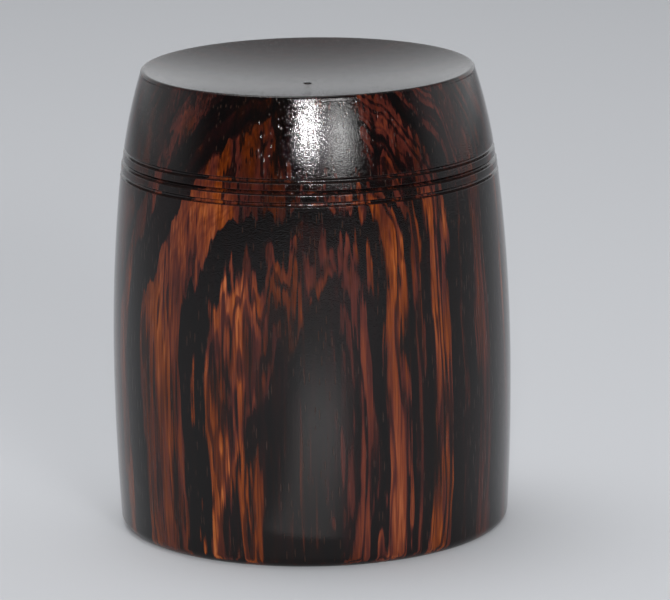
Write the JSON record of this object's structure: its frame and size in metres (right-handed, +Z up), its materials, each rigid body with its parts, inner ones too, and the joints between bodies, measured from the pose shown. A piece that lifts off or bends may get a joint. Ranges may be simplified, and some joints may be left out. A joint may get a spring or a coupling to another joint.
{
  "type": "tea caddy",
  "caption": "Round turned hardwood caddy for leaf tea: a barrel-shaped body with a close-fitting lift-off lid and a knobbed inner lid.",
  "frame": {"origin": "centre of the base, on the surface that the caddy stands on", "axes": "+Z up along the turning axis; +Y away from the front of the figured side"},
  "size_m": [0.068, 0.068, 0.079],
  "materials": {
    "rosewood": "polished gloss",
    "rosewood_satin": "satin",
    "ebony": "satin"
  },
  "bodies": {
    "body": {"body": "rosewood", "collar": "ebony"},
    "inner_lid": {"inner_lid": "rosewood_satin", "inner_lid_knob": "ebony"},
    "lid": {"lid": "rosewood"}
  },
  "joints": [
    {"name": "inner_lid_lift", "type": "slide", "parent": "body", "child": "inner_lid", "axis": [0, 0, 1], "range_m": [0, 0.045]},
    {"name": "lid_lift", "type": "slide", "parent": "inner_lid", "child": "lid", "axis": [0, 0, 1], "range_m": [0, 0.06]}
  ]
}
